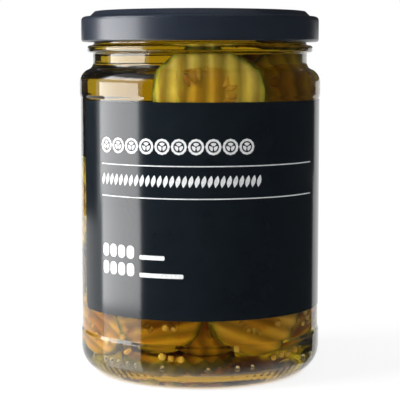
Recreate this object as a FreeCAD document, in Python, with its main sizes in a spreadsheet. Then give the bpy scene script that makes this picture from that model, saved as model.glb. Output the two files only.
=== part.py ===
"""Glass jar of sliced gherkins in brine, with a twist-off metal lid and a wrap-round label.

Millimetres. +Z is up and the origin is the centre of the ring that the jar stands on.
The middle of the label's printed face looks along -Y.
"""

import FreeCAD, Part
import math
import os

import Sketcher

V = FreeCAD.Vector

# Driving sizes in millimetres and degrees, each written once.
SIZES = {
    # glass body
    "body_radius": 37.25,      # contact bands above and below the label panel
    "body_height": 92.5,       # height at which the side wall meets the shoulder slope
    "heel_radius": 7.9,        # round between the standing ring and the side
    "ring_width": 1.8,         # flat ring that the jar stands on
    "push_up": 1.8,            # hollow under the base
    "push_up_run": 5.0,        # slope from the standing ring up into the hollow
    "push_up_round": 6.0,
    "base_wall": 2.0,          # glass above the hollow
    "side_wall": 2.2,
    "inner_heel": 7.0,
    "panel_recess": 0.3,       # label panel sits below the contact bands
    "panel_bottom": 14.0,
    "shoulder_band": 7.5,      # from the top of the label panel to the shoulder slope
    "panel_step": 1.0,
    "panel_round": 1.2,
    "shoulder_rise": 1.8,      # height of the slope between side and neck
    "shoulder_round": 4.5,
    # neck and finish
    "shoulder_reach": 4.15,    # neck inside the contact bands
    "neck_wall": 2.4,
    "neck_round": 2.2,
    "neck_length": 4.2,        # plain neck below the carrying bead
    "bead_reach": 1.7,         # carrying bead beyond the neck
    "bead_height": 2.65,
    "bead_round": 0.8,
    "bead_foot": 0.4,
    "finish_reach": 0.2,       # threaded wall is this much inside the neck
    "rim_round": 0.9,
    "inner_shoulder": 4.0,
    "inner_slope_drop": 0.5,   # inner slope ends this much below the neck's foot
    # interrupted threads
    "thread_reach": 1.4,
    "thread_height": 1.6,
    "thread_angle": 55.0,
    "thread_sink": 0.5,        # root of the thread inside the glass
    "thread_slope": 0.5,       # its sloping flanks
    "start_count": 4,
    # lid
    "skirt_gap": 2.1,          # between the thread and the inside of the skirt
    "lid_metal": 0.25,
    "lid_skirt": 7.7,          # from the rolled edge to the ledge over the rim
    "lid_gap": 0.85,           # from the bead to the rolled edge
    "lid_round": 1.2,
    "crown_rise": 1.65,        # raised ring over the rim, above the ledge
    "press_round": 0.6,
    "well_radius": 28.0,       # sunk middle inside the raised ring
    "well_depth": 1.2,
    "well_slope": 1.0,
    "button_radius": 13.0,     # dished safety button in the middle
    "button_depth": 0.6,
    "button_slope": 1.6,
    "curl": 1.6,               # rolled edge
    "curl_round": 0.7,
    "lug_reach": 1.5,
    "lug_height": 1.1,
    "lug_slope": 0.4,
    "lug_angle": 22.0,
    "lug_gap": 0.15,           # lug to thread
    "rim_gap": 0.05,           # rim to the raised ring over it
    # label
    "label_film": 0.1,
    "label_gap": 0.02,
    "label_margin_bottom": 7.1,
    "label_margin_top": 0.55,
    "label_angle": 300.0,
    "label_start": 69.0,       # first edge, to the left of the printed middle
    "label_corner": 2.5,
    # contents
    "fill_gap": 0.02,
    "fill_level": 5.0,         # surface above the carrying bead's top
}

STATE_FAULTS = ("Invalid", "Error")
SHEET = "sizes"


class Size:
    """A length that carries its number and the sheet expression that drives it."""

    def __init__(self, value, text):
        self.value = value
        self.text = text

    def __add__(self, other):
        return Size(self.value + other.value, f"({self.text} + {other.text})")

    def __sub__(self, other):
        return Size(self.value - other.value, f"({self.text} - {other.text})")

    def __mul__(self, factor):
        return Size(self.value * factor, f"({self.text} * {factor})")


NO_GAP = Size(0.0, "0.0")


def make_sheet(doc):
    """Writes the driving sizes into a spreadsheet and returns them as Size objects."""
    sheet = doc.addObject("Spreadsheet::Sheet", SHEET)
    sizes = {}
    for row, (alias, number) in enumerate(SIZES.items(), start=1):
        sheet.set(f"A{row}", alias)
        sheet.set(f"B{row}", str(number))
        sheet.setAlias(f"B{row}", alias)
        sizes[alias] = Size(float(number), f"{SHEET}.{alias}")
    doc.recompute()
    return sizes


def origin_plane(body, role):
    """The body's own origin plane of that role."""
    return next(plane for plane in body.Origin.OriginFeatures if plane.Role == role)


def new_sketch(body, name, role="XZ_Plane"):
    """An empty sketch on one of the body's origin planes."""
    sketch = body.newObject("Sketcher::SketchObject", name)
    sketch.AttachmentSupport = [(origin_plane(body, role), "")]
    sketch.MapMode = "FlatFace"
    return sketch


def locate(sketch, geometry, end, across, up):
    """Ties one point of the sketch to the sheet, across from the axis and up from the base."""
    if across is None:
        sketch.addConstraint(Sketcher.Constraint("PointOnObject", geometry, end, -2))
    else:
        number = sketch.addConstraint(Sketcher.Constraint("DistanceX", -1, 1, geometry, end, across.value))
        sketch.setExpression(f"Constraints[{number}]", across.text)
    if up is None:
        sketch.addConstraint(Sketcher.Constraint("PointOnObject", geometry, end, -1))
    else:
        number = sketch.addConstraint(Sketcher.Constraint("DistanceY", -1, 1, geometry, end, up.value))
        sketch.setExpression(f"Constraints[{number}]", up.text)


def corner_point(corner):
    """A corner's place in the sketch, where None means on the axis or on the base plane."""
    across, up, _ = corner
    return V(across.value if across else 0.0, up.value if up else 0.0, 0.0)


def draw_outline(sketch, corners):
    """Draws a closed outline of straight runs with rounded corners, all tied to the sheet.

    Each corner is (across, up, round): Size objects, with None for the axis, the base plane
    or a sharp corner.
    """
    points = [corner_point(corner) for corner in corners]
    count = len(corners)
    starts, ends, arcs = {}, {}, {}
    for index, (_, _, rounding) in enumerate(corners):
        here = points[index]
        before = (points[index - 1] - here).normalize()
        after = (points[(index + 1) % count] - here).normalize()
        ends[index] = here
        starts[index] = here
        if rounding is None:
            continue
        half = before.getAngle(after) / 2.0
        reach = rounding.value / math.tan(half)
        middle = (before + after).normalize()
        ends[index] = here + before * reach
        starts[index] = here + after * reach
        arcs[index] = here + middle * (rounding.value / math.sin(half))

    lines = []
    for index in range(count):
        run = Part.LineSegment(starts[index], ends[(index + 1) % count])
        lines.append(sketch.addGeometry(run, False))

    for index, (across, up, rounding) in enumerate(corners):
        line_in = lines[index - 1]
        line_out = lines[index]
        if rounding is None:
            sketch.addConstraint(Sketcher.Constraint("Coincident", line_in, 2, line_out, 1))
            locate(sketch, line_out, 1, across, up)
            continue
        apex = sketch.addGeometry(Part.Point(points[index]), True)
        locate(sketch, apex, 1, across, up)
        sketch.addConstraint(Sketcher.Constraint("PointOnObject", apex, 1, line_in))
        sketch.addConstraint(Sketcher.Constraint("PointOnObject", apex, 1, line_out))
        add_round(sketch, arcs[index], ends[index], starts[index], rounding, line_in, line_out)


def add_round(sketch, centre, arrival, departure, rounding, line_in, line_out):
    """Adds one rounded corner between two straight runs."""
    to_arrival = arrival - centre
    to_departure = departure - centre
    counter_clockwise = to_arrival.cross(to_departure).z > 0.0
    first, last = (to_arrival, to_departure) if counter_clockwise else (to_departure, to_arrival)
    circle = Part.Circle(centre, V(0, 0, 1), rounding.value)
    span = Part.ArcOfCircle(circle, math.atan2(first.y, first.x), math.atan2(last.y, last.x))
    arc = sketch.addGeometry(span, False)
    arrival_end, departure_end = (1, 2) if counter_clockwise else (2, 1)
    sketch.addConstraint(Sketcher.Constraint("Tangent", line_in, 2, arc, arrival_end))
    sketch.addConstraint(Sketcher.Constraint("Tangent", line_out, 1, arc, departure_end))
    number = sketch.addConstraint(Sketcher.Constraint("Radius", arc, rounding.value))
    sketch.setExpression(f"Constraints[{number}]", rounding.text)


def revolve(body, sketch, name, angle=None, both_ways=False):
    """Turns a sketch round the upright axis, all the way or by a sheet angle."""
    turned = body.newObject("PartDesign::Revolution", name)
    turned.Profile = sketch
    turned.ReferenceAxis = (sketch, ["V_Axis"])
    turned.Angle = 360.0
    turned.Midplane = both_ways
    if angle is not None:
        turned.setExpression("Angle", angle.text)
    return turned


def repeat_round(body, feature, name, count):
    """Repeats a feature evenly round the upright axis."""
    pattern = body.newObject("PartDesign::PolarPattern", name)
    pattern.Originals = [feature]
    pattern.Axis = (feature.Profile[0], ["V_Axis"])
    pattern.Angle = 360.0
    pattern.setExpression("Occurrences", count.text)
    body.Tip = pattern
    return pattern


def new_body(doc, label):
    """A body whose label is also its file's name."""
    body = doc.addObject("PartDesign::Body", label)
    body.Label = label
    body.Placement = FreeCAD.Placement(V(0, 0, 0), FreeCAD.Rotation())
    return body


def derived(s):
    """Levels and radii that several pieces share, worked out from the driving sizes."""
    s["panel_radius"] = s["body_radius"] - s["panel_recess"]
    s["panel_top"] = s["body_height"] - s["shoulder_band"]
    s["neck_radius"] = s["body_radius"] - s["shoulder_reach"]
    s["bore_radius"] = s["neck_radius"] - s["neck_wall"]
    s["inner_radius"] = s["panel_radius"] - s["side_wall"]
    s["finish_radius"] = s["neck_radius"] - s["finish_reach"]
    s["floor"] = s["push_up"] + s["base_wall"]
    s["neck_foot"] = s["body_height"] + s["shoulder_rise"]
    s["bead_bottom"] = s["neck_foot"] + s["neck_length"]
    s["bead_top"] = s["bead_bottom"] + s["bead_height"]
    s["skirt_bottom"] = s["bead_top"] + s["lid_gap"]
    s["ledge"] = s["skirt_bottom"] + s["lid_skirt"]
    s["lid_top"] = s["ledge"] + s["crown_rise"]
    s["rim"] = s["lid_top"] - s["lid_metal"] - s["rim_gap"]
    s["thread_radius"] = s["finish_radius"] + s["thread_reach"]
    s["lid_radius"] = s["thread_radius"] + s["skirt_gap"] + s["lid_metal"]
    s["lug_bottom"] = s["skirt_bottom"] + s["curl"] - s["lug_height"]
    s["thread_bottom"] = s["lug_bottom"] + s["lug_height"] + s["lug_gap"]


def cavity(s, gap, top, top_round=None):
    """Inside of the glass, drawn in by a gap, from the middle of the floor to a level in the neck."""
    wall = s["inner_radius"] - gap
    bore = s["bore_radius"] - gap
    return [
        (None, s["floor"] + gap, None),
        (wall, s["floor"] + gap, s["inner_heel"]),
        (wall, s["body_height"] - s["shoulder_rise"], s["inner_shoulder"]),
        (bore, s["neck_foot"] - s["inner_slope_drop"], s["inner_shoulder"]),
        (bore, top, top_round),
    ]


def make_glass(doc, s):
    """Jar: standing ring, hollow base, heel, recessed label panel, shoulder, bead and thread."""
    body = new_body(doc, "glass_jar")
    ring_inner = s["body_radius"] - s["heel_radius"] - s["ring_width"]
    bead_radius = s["neck_radius"] + s["bead_reach"]
    outside = [
        (None, s["push_up"], None),
        (ring_inner - s["push_up_run"], s["push_up"], s["push_up_round"]),
        (ring_inner, None, None),
        (s["body_radius"], None, s["heel_radius"]),
        (s["body_radius"], s["panel_bottom"] - s["panel_step"], s["panel_round"]),
        (s["panel_radius"], s["panel_bottom"], s["panel_round"]),
        (s["panel_radius"], s["panel_top"], s["panel_round"]),
        (s["body_radius"], s["panel_top"] + s["panel_step"], s["panel_round"]),
        (s["body_radius"], s["body_height"], s["shoulder_round"]),
        (s["neck_radius"], s["neck_foot"], s["neck_round"]),
        (s["neck_radius"], s["bead_bottom"], s["bead_foot"]),
        (bead_radius, s["bead_bottom"] + s["bead_foot"], s["bead_round"]),
        (bead_radius, s["bead_top"] - s["bead_foot"], s["bead_round"]),
        (s["finish_radius"], s["bead_top"], s["bead_foot"]),
        (s["finish_radius"], s["rim"], s["rim_round"]),
    ]
    inside = cavity(s, NO_GAP, s["rim"], s["rim_round"])
    section = new_sketch(body, "glass_section")
    draw_outline(section, outside + inside[::-1])
    revolve(body, section, "glass_turned")

    reach = s["thread_radius"]
    low = s["thread_bottom"]
    high = low + s["thread_height"]
    rib = new_sketch(body, "thread_section")
    draw_outline(rib, [
        (s["finish_radius"] - s["thread_sink"], low, None),
        (reach, low + s["thread_slope"], None),
        (reach, high - s["thread_slope"], None),
        (s["finish_radius"] - s["thread_sink"], high, None),
    ])
    thread = revolve(body, rib, "thread", s["thread_angle"], both_ways=True)
    repeat_round(body, thread, "threads", s["start_count"])
    return body


def make_lid(doc, s):
    """Pressed lid: dished button, sunk middle, raised ring, ledge, skirt, rolled edge and lugs."""
    body = new_body(doc, "lid")
    metal = s["lid_metal"]
    # The slopes fall at 45 degrees. The outer one passes the rim's round at the rim gap.
    root = math.sqrt(2.0)
    slope_shift = metal * (root - 1.0)
    crown_under = s["finish_radius"] - s["rim_round"] * (2.0 - root) + s["rim_gap"] * (root - 1.0)
    crown = crown_under + slope_shift
    foot = crown + s["crown_rise"]
    well = s["lid_top"] - s["well_depth"]
    dish = well - s["button_depth"]
    well_edge = s["well_radius"] + s["well_slope"]
    button_edge = s["button_radius"] + s["button_slope"]
    inner_skirt = s["lid_radius"] - metal
    curl_inner = s["lid_radius"] - s["curl"]
    curl_top = s["skirt_bottom"] + s["curl"]
    bend = s["press_round"]
    top_side = [
        (None, dish, None),
        (s["button_radius"], dish, bend),
        (button_edge, well, bend),
        (s["well_radius"], well, bend),
        (well_edge, s["lid_top"], bend),
        (crown, s["lid_top"], bend),
        (foot, s["ledge"], bend),
        (s["lid_radius"], s["ledge"], s["lid_round"]),
    ]
    rolled_edge = [
        (s["lid_radius"], s["skirt_bottom"], s["curl_round"]),
        (curl_inner, s["skirt_bottom"], s["curl_round"]),
        (curl_inner, curl_top, s["curl_round"]),
        (inner_skirt, curl_top, None),
    ]
    under_side = [
        (inner_skirt, s["ledge"] - metal, s["lid_round"] - metal),
        (foot - slope_shift, s["ledge"] - metal, bend),
        (crown_under, s["lid_top"] - metal, bend - metal),
        (well_edge + slope_shift, s["lid_top"] - metal, bend - metal),
        (s["well_radius"] + slope_shift, well - metal, bend),
        (button_edge, well - metal, bend),
        (s["button_radius"], dish - metal, bend),
        (None, dish - metal, None),
    ]
    section = new_sketch(body, "lid_section")
    draw_outline(section, top_side + rolled_edge + under_side)
    revolve(body, section, "lid_turned")

    lug = new_sketch(body, "lug_section")
    lug_root = curl_inner + s["curl_round"]
    lug_top = s["lug_bottom"] + s["lug_height"]
    draw_outline(lug, [
        (curl_inner - s["lug_reach"], s["lug_bottom"] + s["lug_slope"], None),
        (lug_root, s["lug_bottom"], None),
        (lug_root, lug_top, None),
        (curl_inner - s["lug_reach"], lug_top, None),
    ])
    tab = revolve(body, lug, "lug", s["lug_angle"], both_ways=True)
    repeat_round(body, tab, "lugs", s["start_count"])
    return body


def radial_edges(shape, length):
    """Names of the short straight edges that cross the film at its four corners."""
    names = []
    for number, edge in enumerate(shape.Edges, start=1):
        straight = isinstance(edge.Curve, Part.Line)
        if straight and abs(edge.Length - length) < length / 10.0:
            names.append(f"Edge{number}")
    return names


def make_label(doc, s):
    """Film label on the recessed panel, open at the back left, with rounded corners."""
    body = new_body(doc, "label")
    inner = s["panel_radius"] + s["label_gap"]
    outer = inner + s["label_film"]
    low = s["panel_bottom"] + s["label_margin_bottom"]
    high = s["panel_top"] - s["label_margin_top"]
    section = new_sketch(body, "label_section")
    draw_outline(section, [
        (inner, low, None),
        (outer, low, None),
        (outer, high, None),
        (inner, high, None),
    ])
    wrap = revolve(body, section, "label_wrap", s["label_angle"], both_ways=True)
    doc.recompute()
    corners = body.newObject("PartDesign::Fillet", "label_corners")
    corners.Base = (wrap, radial_edges(wrap.Shape, s["label_film"].value))
    corners.setExpression("Radius", s["label_corner"].text)
    body.Tip = corners
    # The wrap is drawn centred on +X, and its middle lies half its angle past the first edge.
    turn = -90.0 - s["label_start"].value + s["label_angle"].value / 2.0
    body.Placement = FreeCAD.Placement(V(0, 0, 0), FreeCAD.Rotation(V(0, 0, 1), turn))
    return body


def make_brine(doc, s):
    """Brine with the slices in it, as one closed solid up to its level in the neck."""
    body = new_body(doc, "brine")
    level = s["bead_top"] + s["fill_level"]
    section = new_sketch(body, "brine_section")
    draw_outline(section, cavity(s, s["fill_gap"], level) + [(None, level, None)])
    revolve(body, section, "brine_turned")
    return body


def check_document(doc, bodies):
    """Stops when any object failed or a piece has no sound solid."""
    for item in doc.Objects:
        if any(fault in item.State for fault in STATE_FAULTS):
            raise RuntimeError(f"{item.Name} did not build: {item.State}")
    for body in bodies:
        shape = body.Shape
        if shape.isNull() or not shape.isValid() or len(shape.Solids) != 1:
            raise RuntimeError(f"{body.Label} is not one valid solid")


def main():
    """Builds the four pieces and writes each to its own file."""
    doc = FreeCAD.newDocument("pickle_jar")
    s = make_sheet(doc)
    derived(s)
    bodies = [make_glass(doc, s), make_lid(doc, s), make_label(doc, s), make_brine(doc, s)]
    doc.recompute()
    check_document(doc, bodies)
    os.makedirs("parts", exist_ok=True)
    for body in bodies:
        box = body.Shape.BoundBox
        print(f"{body.Label}: {body.Shape.Volume / 1000.0:.2f} cm3, "
              f"x {box.XMin:.2f}..{box.XMax:.2f}, y {box.YMin:.2f}..{box.YMax:.2f}, "
              f"z {box.ZMin:.2f}..{box.ZMax:.2f}")
        body.Shape.exportStep(f"parts/{body.Label}.step")


main()
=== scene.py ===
"""Looks of a shut glass jar of crinkle-cut gherkin slices in brine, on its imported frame."""

import logging
import math
import random
from collections.abc import Callable
from dataclasses import dataclass, field
from enum import Enum

import bmesh
import bpy
from mathutils import Euler, Matrix, Vector

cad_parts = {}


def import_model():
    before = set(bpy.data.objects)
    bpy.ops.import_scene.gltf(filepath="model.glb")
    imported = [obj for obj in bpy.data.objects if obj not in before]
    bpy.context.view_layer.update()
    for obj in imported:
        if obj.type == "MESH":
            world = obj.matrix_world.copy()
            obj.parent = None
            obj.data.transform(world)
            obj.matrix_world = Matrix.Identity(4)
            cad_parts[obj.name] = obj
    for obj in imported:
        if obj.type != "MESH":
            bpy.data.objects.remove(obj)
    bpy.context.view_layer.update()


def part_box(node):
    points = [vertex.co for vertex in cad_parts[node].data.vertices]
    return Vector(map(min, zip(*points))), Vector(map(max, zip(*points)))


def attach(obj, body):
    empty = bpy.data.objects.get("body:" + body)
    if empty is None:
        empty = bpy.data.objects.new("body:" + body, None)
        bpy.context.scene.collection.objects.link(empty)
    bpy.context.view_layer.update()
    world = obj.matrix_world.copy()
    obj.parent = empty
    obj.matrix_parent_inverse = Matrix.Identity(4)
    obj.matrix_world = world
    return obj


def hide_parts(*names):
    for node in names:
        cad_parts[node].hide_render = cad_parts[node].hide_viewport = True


LOG = logging.getLogger("pickle_jar")
MM = 0.001
ROOT = "root"

Point = tuple[float, float]
Corner = tuple[float, float, float]
Colour = tuple[float, float, float, float]
Input = float | str | tuple | bpy.types.NodeSocket

WHITE: Colour = (1.0, 1.0, 1.0, 1.0)
BLACK: Colour = (0.0, 0.0, 0.0, 1.0)


class Node(Enum):
    """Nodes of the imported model."""

    GLASS = "glass_jar"
    LID = "lid"
    LABEL = "label"
    BRINE = "brine"


class Slot(Enum):
    """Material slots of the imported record."""

    GLASS = "glass"
    LID = "lid_paint"
    LABEL = "label_film"
    BRINE = "brine_fill"


# ---------------------------------------------------------------- colour and node helpers


def linear(code: str) -> Colour:
    """Turns an sRGB hex colour into Blender's linear colour.

    Args:
        code: six hex digits.

    Returns:
        Linear red, green, blue and an alpha of 1.
    """
    channels = [int(code[i:i + 2], 16) / 255.0 for i in (0, 2, 4)]
    bent = [c / 12.92 if c <= 0.04045 else ((c + 0.055) / 1.055) ** 2.4 for c in channels]
    return (bent[0], bent[1], bent[2], 1.0)


def add_node(tree: bpy.types.NodeTree, kind: str, settings: dict | None = None,
             inputs: dict[str | int, Input] | None = None) -> bpy.types.Node:
    """Adds one node with its settings and its inputs.

    Args:
        tree: the node tree that gets the node.
        kind: the node's type, such as ShaderNodeTexNoise.
        settings: attributes of the node itself.
        inputs: input socket name or number to a plain value or to the socket that feeds it.

    Returns:
        The new node.
    """
    node = tree.nodes.new(kind)
    for name, value in (settings or {}).items():
        setattr(node, name, value)
    for name, given in (inputs or {}).items():
        if isinstance(given, bpy.types.NodeSocket):
            tree.links.new(given, node.inputs[name])
        else:
            node.inputs[name].default_value = given
    return node


def new_material(name: str) -> tuple[bpy.types.Material, bpy.types.NodeTree]:
    """Makes an empty node material.

    Args:
        name: the material's name.

    Returns:
        The material and its tree.
    """
    material = bpy.data.materials.new(name)
    material.use_nodes = True
    material.node_tree.nodes.clear()
    return material, material.node_tree


def finish_material(tree: bpy.types.NodeTree, surface: bpy.types.Node,
                    volume: bpy.types.Node | None = None) -> None:
    """Links a material's shaders to its output.

    Args:
        tree: the material's tree.
        surface: the shader of the surface.
        volume: the shader of the body, where light goes into it.
    """
    shaders = {"Surface": surface.outputs[0]}
    if volume is not None:
        shaders["Volume"] = volume.outputs[0]
    add_node(tree, "ShaderNodeOutputMaterial", inputs=shaders)


def object_place(tree: bpy.types.NodeTree) -> bpy.types.NodeSocket:
    """Returns the place on the object, in metres."""
    return add_node(tree, "ShaderNodeTexCoord").outputs["Object"]


def noise(tree: bpy.types.NodeTree, place: bpy.types.NodeSocket, scale: float,
          detail: float) -> bpy.types.NodeSocket:
    """Adds a cloudy pattern over a place.

    Args:
        tree: the material's tree.
        place: the place, in metres.
        scale: how many spots of the pattern a metre has.
        detail: how many finer layers it has.

    Returns:
        The pattern's value, about 0.5 in the middle.
    """
    spots = add_node(tree, "ShaderNodeTexNoise", inputs={"Scale": scale, "Detail": detail, "Vector": place})
    return spots.outputs[0]


def maths(tree: bpy.types.NodeTree, operation: str, *terms: Input) -> bpy.types.NodeSocket:
    """Adds one step of arithmetic.

    Args:
        tree: the tree that gets the step.
        operation: the step, such as MULTIPLY.
        terms: plain numbers, or sockets that give them.

    Returns:
        The result.
    """
    step = add_node(tree, "ShaderNodeMath", {"operation": operation}, dict(enumerate(terms)))
    return step.outputs[0]


def map_range(tree: bpy.types.NodeTree, value: bpy.types.NodeSocket, given: tuple[float, float],
              wanted: tuple[float, float], smooth: bool = False) -> bpy.types.NodeSocket:
    """Moves a value from one range to another and holds it at the ends.

    Args:
        tree: the tree that gets the step.
        value: the value.
        given: the ends of its own range.
        wanted: what the ends become.
        smooth: whether it eases in and out.

    Returns:
        The moved value.
    """
    step = add_node(tree, "ShaderNodeMapRange", {"interpolation_type": "SMOOTHSTEP" if smooth else "LINEAR"},
                    {"From Min": given[0], "From Max": given[1], "To Min": wanted[0], "To Max": wanted[1],
                     "Value": value})
    return step.outputs[0]


def mix_colours(tree: bpy.types.NodeTree, factor: bpy.types.NodeSocket, first: Input, second: Input,
                blend: str = "MIX") -> bpy.types.NodeSocket:
    """Blends two colours.

    Args:
        tree: the material's tree.
        factor: the share of the second colour.
        first: a colour or the socket that gives it.
        second: likewise.
        blend: how the second goes over the first.

    Returns:
        The blended colour.
    """
    mix = add_node(tree, "ShaderNodeMix", {"data_type": "RGBA", "blend_type": blend},
                   {0: factor, 6: first, 7: second})
    return mix.outputs[2]


def colour_ramp(tree: bpy.types.NodeTree, factor: bpy.types.NodeSocket,
                stops: list[tuple[float, str]]) -> bpy.types.NodeSocket:
    """Adds a colour ramp.

    Args:
        tree: the material's tree.
        factor: the value that picks the colour.
        stops: (place, hex colour) pairs.

    Returns:
        The picked colour.
    """
    ramp = add_node(tree, "ShaderNodeValToRGB", inputs={"Fac": factor})
    elements = ramp.color_ramp.elements
    while len(elements) < len(stops):
        elements.new(0.5)
    for element, (place, code) in zip(elements, stops):
        element.position = place
        element.color = linear(code)
    return ramp.outputs[0]


def bump(tree: bpy.types.NodeTree, height: bpy.types.NodeSocket, depth_mm: float) -> bpy.types.NodeSocket:
    """Adds a fine relief.

    Args:
        tree: the material's tree.
        height: the relief's height, from 0 to 1.
        depth_mm: how many millimetres a height of 1 is.

    Returns:
        The normal of the relief.
    """
    relief = add_node(tree, "ShaderNodeBump", inputs={"Distance": depth_mm * MM, "Height": height})
    return relief.outputs["Normal"]


# ---------------------------------------------------------------- finishes


@dataclass(frozen=True)
class ClearContainerGlass:
    """Soda-lime flint glass, blown in a mould: clear, with a faint green in thick places."""

    ior: float = 1.52
    density: float = 6.0
    tint: Colour = (0.15, 0.82, 0.5, 1.0)

    def build(self, shape: "JarShape") -> bpy.types.Material:
        """Makes the glass, whose wetted inner wall barely reflects.

        Args:
            shape: the jar's sizes, which say where the inner wall is.

        Returns:
            The glass material.
        """
        material, tree = new_material("flint_glass")
        place = object_place(tree)
        # Slow waves that a blown wall keeps, about 12 mm apart.
        waves = noise(tree, place, 80.0, 1.0)
        shader = add_node(tree, "ShaderNodeBsdfPrincipled", inputs={
            "Base Color": WHITE, "Roughness": 0.0, "IOR": self.ior, "Transmission Weight": 1.0,
            "Normal": bump(tree, waves, 0.12),
            "Specular Tint": mix_colours(tree, self.wetted(tree, place, shape), WHITE, BLACK)})
        body = add_node(tree, "ShaderNodeVolumeAbsorption",
                        inputs={"Color": self.tint, "Density": self.density})
        finish_material(tree, shader, body)
        return material

    def wetted(self, tree: bpy.types.NodeTree, place: bpy.types.NodeSocket,
               shape: "JarShape") -> bpy.types.NodeSocket:
        """Marks the inner wall under the brine, where glass and liquid bend light almost alike.

        Args:
            tree: the material's tree.
            place: the place on the glass, in metres.
            shape: the jar's sizes.

        Returns:
            A factor of 1 on the wetted wall and 0 elsewhere.
        """
        height = add_node(tree, "ShaderNodeSeparateXYZ", inputs={"Vector": place}).outputs["Z"]
        flat = add_node(tree, "ShaderNodeVectorMath", {"operation": "MULTIPLY"},
                        {0: place, 1: (1.0, 1.0, 0.0)})
        out = add_node(tree, "ShaderNodeVectorMath", {"operation": "LENGTH"}, {0: flat.outputs[0]})
        # About halfway through the wall, which draws in at the shoulder.
        middle = map_range(tree, height, ((shape.side_height - 3.5) * MM, shape.neck_foot * MM),
                           ((shape.inner_radius + 0.7) * MM, (shape.bore + 1.3) * MM))
        within = maths(tree, "LESS_THAN", out.outputs["Value"], middle)
        above = maths(tree, "GREATER_THAN", height, (shape.floor - 0.1) * MM)
        below = maths(tree, "LESS_THAN", height, shape.level * MM)
        return maths(tree, "MULTIPLY", maths(tree, "MULTIPLY", above, below), within)


@dataclass(frozen=True)
class GherkinBrine:
    """Vinegar brine with turmeric: clear amber, a little olive where it is deep."""

    ior: float = 1.345
    density: float = 98.0
    tint: Colour = (0.82, 0.72, 0.0, 1.0)

    def build(self) -> bpy.types.Material:
        """Makes the brine.

        Returns:
            The liquid's material.
        """
        material, tree = new_material("gherkin_brine")
        # Its side lies on glass, so it sends almost nothing back.
        shader = add_node(tree, "ShaderNodeBsdfPrincipled", inputs={
            "Base Color": WHITE, "Roughness": 0.0, "IOR": self.ior, "Transmission Weight": 1.0,
            "Specular Tint": BLACK})
        body = add_node(tree, "ShaderNodeVolumeAbsorption",
                        inputs={"Color": self.tint, "Density": self.density})
        finish_material(tree, shader, body)
        return material


@dataclass(frozen=True)
class LidLacquer:
    """Tinplate under a satin stoving lacquer: dark slate blue with a soft sheen and fine orange peel."""

    colour: str = "222935"
    clouded: str = "262d39"
    roughness: tuple[float, float] = (0.26, 0.35)

    def build(self) -> bpy.types.Material:
        """Makes the lacquer.

        Returns:
            The lacquer material.
        """
        material, tree = new_material("satin_stoving_lacquer")
        place = object_place(tree)
        peel = noise(tree, place, 1400.0, 2.0)
        cloud = noise(tree, place, 90.0, 3.0)
        shader = add_node(tree, "ShaderNodeBsdfPrincipled", inputs={
            "Metallic": 0.0, "IOR": 1.5, "Coat Weight": 0.15, "Coat Roughness": 0.2,
            "Base Color": colour_ramp(tree, cloud, [(0.3, self.colour), (0.7, self.clouded)]),
            "Roughness": map_range(tree, cloud, (0.0, 1.0), self.roughness),
            "Normal": bump(tree, peel, 0.01)})
        finish_material(tree, shader)
        return material


@dataclass(frozen=True)
class LabelFilm:
    """Polypropylene label film, varnished: near-black navy outside, and white on its glued side."""

    colour: str = "131a1f"
    mottled: str = "171e24"
    glued: str = "e6e2d2"
    roughness: float = 0.13
    specular: float = 0.38

    def build(self) -> bpy.types.Material:
        """Makes the film, printed on one side.

        Returns:
            The film's material.
        """
        material, tree = new_material("varnished_label_film")
        place = object_place(tree)
        mottle = noise(tree, place, 160.0, 3.0)
        printed = colour_ramp(tree, mottle, [(0.3, self.colour), (0.7, self.mottled)])
        # The glued side is the one whose normal points at the jar's axis, 37 mm away.
        surface = add_node(tree, "ShaderNodeNewGeometry")
        outward = add_node(tree, "ShaderNodeVectorMath", {"operation": "DOT_PRODUCT"},
                           {0: place, 1: surface.outputs["True Normal"]})
        inner = maths(tree, "LESS_THAN", outward.outputs["Value"], -30.0 * MM)
        shader = add_node(tree, "ShaderNodeBsdfPrincipled", inputs={
            "Roughness": self.roughness, "Specular IOR Level": self.specular,
            "Base Color": mix_colours(tree, inner, printed, linear(self.glued)),
            "Normal": bump(tree, noise(tree, place, 900.0, 2.0), 0.003)})
        finish_material(tree, shader)
        return material


@dataclass(frozen=True)
class PrintInk:
    """Opaque white screen ink on the film, a little uneven at its grain."""

    colour: str = "f1f2f2"
    faded: str = "dfe1e2"

    def build(self) -> bpy.types.Material:
        """Makes the ink.

        Returns:
            The ink's material.
        """
        material, tree = new_material("white_screen_ink")
        grain = noise(tree, object_place(tree), 1200.0, 2.0)
        shader = add_node(tree, "ShaderNodeBsdfPrincipled", inputs={
            "Roughness": 0.4, "Specular IOR Level": 0.12,
            "Base Color": colour_ramp(tree, grain, [(0.35, self.faded), (0.6, self.colour)])})
        finish_material(tree, shader)
        return material


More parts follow.
